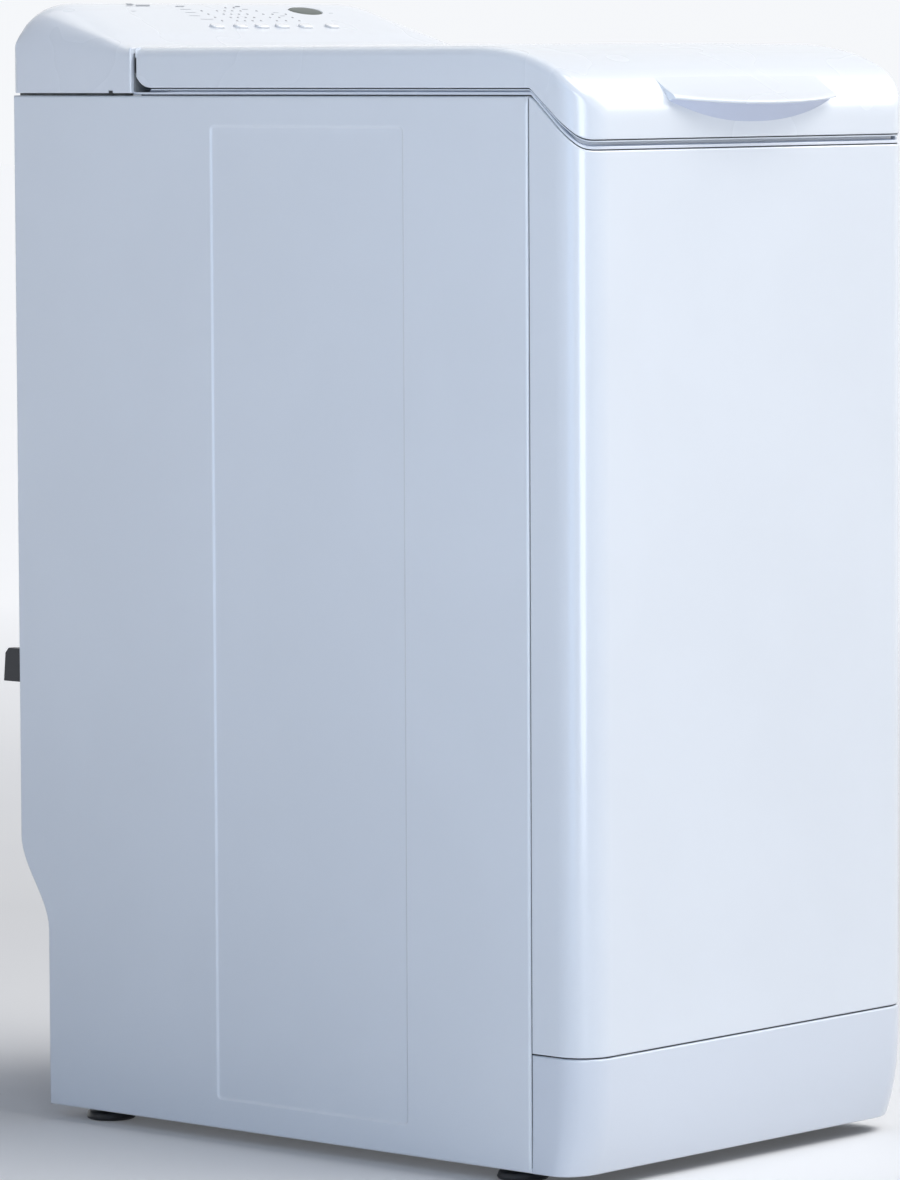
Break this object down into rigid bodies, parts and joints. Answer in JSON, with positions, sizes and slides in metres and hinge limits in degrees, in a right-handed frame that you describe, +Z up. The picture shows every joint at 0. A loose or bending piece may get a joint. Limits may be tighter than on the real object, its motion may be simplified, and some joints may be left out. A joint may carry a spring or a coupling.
{
  "type": "top load washing machine",
  "caption": "Slim free-standing top-loading washing machine: stepped hinged lid with a visor handle, sloping rear control console, level drum with a two-flap hatch, pull-off plinth.",
  "frame": {"origin": "on the floor under the middle of the object's bounding box", "axes": "+X to the right seen from the front, the front faces -Y, +Z up"},
  "size_m": [0.4, 0.637, 0.897],
  "materials": {
    "side_enamel": "baked white enamel, smooth satin gloss",
    "front_enamel": "baked white enamel, smooth satin gloss",
    "plinth_plastic": "moulded white plastic, satin",
    "lid_plastic": "moulded white plastic, glossy",
    "console_plastic": "moulded white plastic, glossy",
    "button_plastic": "moulded white plastic, glossy",
    "white_plastic": "moulded white nylon",
    "deck_plastic": "moulded light grey plastic, fine grain",
    "grey_plastic": "moulded grey plastic",
    "black_plastic": "moulded black plastic",
    "display": "smoked display window",
    "circuit_board": "green solder mask",
    "rubber": "matt grey-black rubber",
    "tub_plastic": "filled polypropylene",
    "zinc_steel": "zinc-plated steel",
    "spring_steel": "bright spring steel",
    "stainless": "stainless steel, brushed",
    "chrome": "nickel-plated heater tube",
    "aluminium": "die-cast aluminium",
    "motor_casting": "motor body, laminations and castings",
    "concrete": "cast concrete ballast"
  },
  "bodies": {
    "cabinet": {"left_side_panel": "side_enamel", "right_side_panel": "side_enamel", "front_panel": "front_enamel", "rear_panel": "side_enamel", "base_frame": "zinc_steel", "suspension_frame": "zinc_steel", "top_deck": "deck_plastic", "loading_gasket": "rubber", "door_lock": "black_plastic", "detergent_box": "deck_plastic", "lid_hinge_left": "zinc_steel", "lid_hinge_right": "zinc_steel", "control_panel": "console_plastic", "display_window": "display", "control_board": "circuit_board", "inlet_valve": "white_plastic", "cord_gland": "black_plastic", "hose_holder": "black_plastic", "drain_pump": "grey_plastic", "sump_hose": "rubber", "spring_left": "spring_steel", "spring_right": "spring_steel", "damper_cylinder_left": "black_plastic", "damper_cylinder_right": "black_plastic"},
    "lid": {"lid_shell": "lid_plastic", "lid_liner": "lid_plastic", "lid_handle": "lid_plastic"},
    "softener_cover": {"softener_flap": "grey_plastic"},
    "kick_panel": {"plinth": "plinth_plastic"},
    "tub": {"tub_left_half": "tub_plastic", "tub_right_half": "tub_plastic", "bearing_carrier_left": "aluminium", "bearing_carrier_right": "aluminium", "counterweight_upper": "concrete", "counterweight_lower": "concrete", "heating_element": "chrome", "drive_belt": "rubber", "motor": "motor_casting", "damper_rod_left": "zinc_steel", "damper_rod_right": "zinc_steel"},
    "drum": {"drum_shell": "stainless", "drum_end_left": "stainless", "drum_end_right": "stainless", "drum_pulley": "aluminium"},
    "front_flap": {"drum_flap_front": "stainless"},
    "rear_flap": {"drum_flap_rear": "stainless"},
    "flap_catch": {"flap_latch": "black_plastic"},
    "motor_rotor": {"motor_pulley": "spring_steel"},
    "impeller": {"pump_impeller": "black_plastic"},
    "filter": {"filter_cap": "grey_plastic"},
    "foot_front_left_body": {"foot_front_left": "black_plastic"},
    "foot_front_right_body": {"foot_front_right": "black_plastic"},
    "foot_rear_left_body": {"foot_rear_left": "black_plastic"},
    "foot_rear_right_body": {"foot_rear_right": "black_plastic"},
    "programme_button_body": {"programme_button": "button_plastic"},
    "temperature_button_body": {"temperature_button": "button_plastic"},
    "spin_speed_button_body": {"spin_speed_button": "button_plastic"},
    "options_button_body": {"options_button": "button_plastic"},
    "delay_button_body": {"delay_button": "button_plastic"},
    "start_button_body": {"start_button": "button_plastic"}
  },
  "joints": [
    {"name": "tub_bounce", "type": "slide", "parent": "cabinet", "child": "tub", "axis": [0, 0, 1], "range_m": [-0.008, 0.008], "stiffness_N_per_m": 20000, "springref_m": 0.0202, "deforming": ["loading_gasket", "spring_left", "spring_right", "sump_hose"]},
    {"name": "drum_spin", "type": "hinge", "parent": "tub", "child": "drum", "pos_m": [0, -0.015, 0.455], "axis": [1, 0, 0], "continuous": true},
    {"name": "motor_spin", "type": "hinge", "parent": "tub", "child": "motor_rotor", "pos_m": [0.168, 0.085, 0.135], "axis": [1, 0, 0], "continuous": true},
    {"name": "front_flap_hinge", "type": "hinge", "parent": "drum", "child": "front_flap", "pos_m": [0, -0.115, 0.65934], "axis": [-1, 0, 0], "range_deg": [0, 100]},
    {"name": "rear_flap_hinge", "type": "hinge", "parent": "drum", "child": "rear_flap", "pos_m": [0, 0.085, 0.65934], "axis": [1, 0, 0], "range_deg": [0, 100]},
    {"name": "flap_catch_slide", "type": "slide", "parent": "rear_flap", "child": "flap_catch", "axis": [0, 1, 0], "range_m": [0, 0.005], "stiffness_N_per_m": 200, "springref_m": -0.002},
    {"name": "lid_hinge", "type": "hinge", "parent": "cabinet", "child": "lid", "pos_m": [0, 0.15, 0.852], "axis": [-1, 0, 0], "range_deg": [0, 95]},
    {"name": "softener_cover_hinge", "type": "hinge", "parent": "cabinet", "child": "softener_cover", "pos_m": [0.09, 0.158, 0.8305], "axis": [-1, 0, 0], "range_deg": [0, 45]},
    {"name": "plinth_pull", "type": "slide", "parent": "cabinet", "child": "kick_panel", "axis": [0, -1, 0], "range_m": [0, 0.08]},
    {"name": "filter_turn", "type": "hinge", "parent": "cabinet", "child": "filter", "pos_m": [0.03, -0.2484, 0.075], "axis": [0, -1, 0], "range_deg": [0, 90]},
    {"name": "impeller_spin", "type": "hinge", "parent": "cabinet", "child": "impeller", "pos_m": [0.03, -0.09, 0.075], "axis": [0, 1, 0], "continuous": true},
    {"name": "foot_front_left_turn", "type": "hinge", "parent": "cabinet", "child": "foot_front_left_body", "pos_m": [-0.165, -0.206, 0], "axis": [0, 0, 1], "continuous": true},
    {"name": "foot_front_right_turn", "type": "hinge", "parent": "cabinet", "child": "foot_front_right_body", "pos_m": [0.165, -0.206, 0], "axis": [0, 0, 1], "continuous": true},
    {"name": "foot_rear_left_turn", "type": "hinge", "parent": "cabinet", "child": "foot_rear_left_body", "pos_m": [-0.165, 0.234, 0], "axis": [0, 0, 1], "continuous": true},
    {"name": "foot_rear_right_turn", "type": "hinge", "parent": "cabinet", "child": "foot_rear_right_body", "pos_m": [0.165, 0.234, 0], "axis": [0, 0, 1], "continuous": true},
    {"name": "programme_press", "type": "slide", "parent": "cabinet", "child": "programme_button_body", "axis": [0, 0.3369, -0.9415], "range_m": [0, 0.0015], "stiffness_N_per_m": 800, "springref_m": -0.001},
    {"name": "temperature_press", "type": "slide", "parent": "cabinet", "child": "temperature_button_body", "axis": [0, 0.3369, -0.9415], "range_m": [0, 0.0015], "stiffness_N_per_m": 800, "springref_m": -0.001},
    {"name": "spin_speed_press", "type": "slide", "parent": "cabinet", "child": "spin_speed_button_body", "axis": [0, 0.3369, -0.9415], "range_m": [0, 0.0015], "stiffness_N_per_m": 800, "springref_m": -0.001},
    {"name": "options_press", "type": "slide", "parent": "cabinet", "child": "options_button_body", "axis": [0, 0.3369, -0.9415], "range_m": [0, 0.0015], "stiffness_N_per_m": 800, "springref_m": -0.001},
    {"name": "delay_press", "type": "slide", "parent": "cabinet", "child": "delay_button_body", "axis": [0, 0.3369, -0.9415], "range_m": [0, 0.0015], "stiffness_N_per_m": 800, "springref_m": -0.001},
    {"name": "start_press", "type": "slide", "parent": "cabinet", "child": "start_button_body", "axis": [0, 0.3369, -0.9415], "range_m": [0, 0.0015], "stiffness_N_per_m": 800, "springref_m": -0.001}
  ],
  "couplings": [
    {"joint": "motor_spin", "follows": "drum_spin", "ratio": 13}
  ]
}
